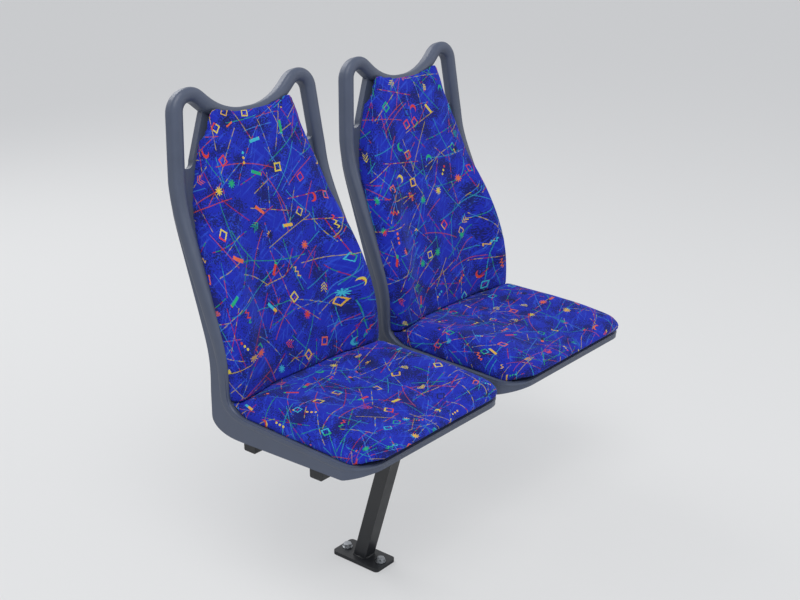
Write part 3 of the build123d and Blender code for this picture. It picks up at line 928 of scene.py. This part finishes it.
low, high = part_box("foot_plate")
middle = (low + high) / 2
spots = [(middle.x, middle.y + way * FOOT_BOLTS / 2, high.z) for way in (-1, 1)]
bolts("foot_bolts", spots, ((1, 0, 0), (0, 1, 0), (0, 0, 1)), zinc)
low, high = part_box("wall_bracket")
middle = (low + high) / 2
spots = [
    (low.x, middle.y + way * WALL_BOLTS[0] / 2, middle.z + rise * WALL_BOLTS[1] / 2)
    for way in (-1, 1)
    for rise in (-1, 1)
]
bolts("wall_bolts", spots, ((0, 1, 0), (0, 0, -1), (-1, 0, 0)), zinc)

SCREW_R = 0.0048          # pan head of a cover screw
SCREW_RISE = 0.0022       # its height
SCREW_DOME = 2.2          # the higher, the steeper its sides
SOCKET_R = 0.0018         # socket in its middle
SOCKET_FOOT = (0.85, 0.35)           # the socket's floor: shares of its radius and of the head's height
COVER_SCREWS = ((0.120, 0.326), (0.165, 0.062))      # across from the seat's middle, and up
BEHIND = 0.4              # the cover's face is looked for from this far behind


def screw_form():
    """Screw head as rings: a low dome, whose height is a sine and whose radius shrinks by a power,
    with a blind round socket in its middle."""
    turn = np.linspace(0, math.tau, 32, endpoint=False)
    rise = np.linspace(0, 1, 7)
    radii = SCREW_R - (SCREW_R - SOCKET_R) * rise ** SCREW_DOME
    radii = np.concatenate((radii, [SOCKET_R * SOCKET_FOOT[0]]))
    heights = np.concatenate((SCREW_RISE * np.sin(rise * math.pi / 2), [SCREW_RISE * SOCKET_FOOT[1]]))
    return np.stack(np.broadcast_arrays(
        radii[:, None] * np.cos(turn), radii[:, None] * np.sin(turn), heights[:, None]
    ), axis=-1)


for seat in SEAT_NAMES:
    places = []
    origin = seat_origin(seat)
    for hand in (-1, 1):
        for u, z in COVER_SCREWS:
            behind = Vector((origin[0] + hand * u, origin[1] + BEHIND, origin[2] + z))
            _, spot, out, _ = outsides["back_cover", seat].ray_cast(behind, Vector((0, -1, 0)))
            out = np.array(out)
            up = np.cross(out, (1, 0, 0))
            up = up / np.linalg.norm(up)
            places.append((spot, (np.cross(up, out), up, out)))
    fixings(f"cover_screws_{seat}", screw_form(), places, zinc)

# Stage. A pale matt floor, an evenly lit backdrop, three soft lamps, and a camera
# where the photograph was taken from.

FLOOR_HALF = 60.0         # wide enough that its edge lies outside the view
FLOOR_TONE = 0.55         # share of the backdrop's own tone in the floor as the camera sees it
floor_mesh = bpy.data.meshes.new("floor")
corners = [(x * FLOOR_HALF, y * FLOOR_HALF, 0) for x, y in ((-1, -1), (1, -1), (1, 1), (-1, 1))]
floor_mesh.from_pydata(corners, [], [(0, 1, 2, 3)])
floor = bpy.data.objects.new("floor", floor_mesh)
bpy.context.scene.collection.objects.link(floor)
pale, tree, shader = new_material("pale_floor", **{"Base Color": linear("#dddddb"), "Roughness": 0.8})
# To the camera, part of the light from the floor is the backdrop's own tone, so it stays pale far away.
BACKDROP = linear("#dfe0e2")
tone = add_node(tree, "ShaderNodeEmission", {"Color": BACKDROP, "Strength": 1.0})
share = add_node(
    tree, "ShaderNodeMath",
    {0: add_node(tree, "ShaderNodeLightPath").outputs["Is Camera Ray"], 1: FLOOR_TONE},
    operation="MULTIPLY",
)
seen = add_node(
    tree, "ShaderNodeMixShader", {0: share.outputs[0], 1: shader.outputs[0], 2: tone.outputs[0]}
)
ground = next(node for node in tree.nodes if node.type == "OUTPUT_MATERIAL")
tree.links.new(seen.outputs[0], ground.inputs[0])
floor_mesh.materials.append(pale)

# The world lights softly and evenly. Seen straight on, in gloss or through, it is the pale backdrop.
world = bpy.data.worlds.new("studio")
world.use_nodes = True
tree = world.node_tree
tree.nodes.clear()
light_path = add_node(tree, "ShaderNodeLightPath")
soft = add_node(tree, "ShaderNodeBackground", {"Color": (0.9, 0.93, 1.0, 1.0), "Strength": 0.55})
backdrop = add_node(tree, "ShaderNodeBackground", {"Color": BACKDROP, "Strength": 1.0})
direct = light_path.outputs["Is Camera Ray"]
for kind in ("Is Glossy Ray", "Is Transmission Ray"):
    direct = add_node(
        tree, "ShaderNodeMath", {0: direct, 1: light_path.outputs[kind]}, operation="MAXIMUM"
    ).outputs[0]
seen = add_node(tree, "ShaderNodeMixShader", {0: direct, 1: soft.outputs[0], 2: backdrop.outputs[0]})
tree.links.new(seen.outputs[0], add_node(tree, "ShaderNodeOutputWorld").inputs[0])
bpy.context.scene.world = world

MIDDLE = Vector((0.2, 0.05, 0.5))    # the lamps shine at it
for name, spot, size, power in (    # size in metres, power in watts
    ("key", (-1.5, -1.3, 3.7), 2.4, 92),
    ("fill", (2.6, -2.0, 1.8), 2.5, 16),
    ("rear", (0.5, 3.0, 2.6), 2.0, 45),
):
    lamp = bpy.data.lights.new(name, "AREA")
    lamp.size = size
    lamp.energy = power
    holder = bpy.data.objects.new(name, lamp)
    holder.location = spot
    holder.rotation_euler = (MIDDLE - Vector(spot)).to_track_quat("-Z", "Y").to_euler()
    bpy.context.scene.collection.objects.link(holder)

CAMERA_SPOT = Vector((-1.651, -1.445, 1.357))        # where the lens was
AIM = Vector((0.185, 0.055, 0.50))
camera = bpy.data.cameras.new("camera")
camera.lens = 55
holder = bpy.data.objects.new("camera", camera)
holder.location = CAMERA_SPOT
holder.rotation_euler = (AIM - CAMERA_SPOT).to_track_quat("-Z", "Y").to_euler()
bpy.context.scene.collection.objects.link(holder)
bpy.context.scene.camera = holder
bpy.context.scene.view_settings.view_transform = "Standard"
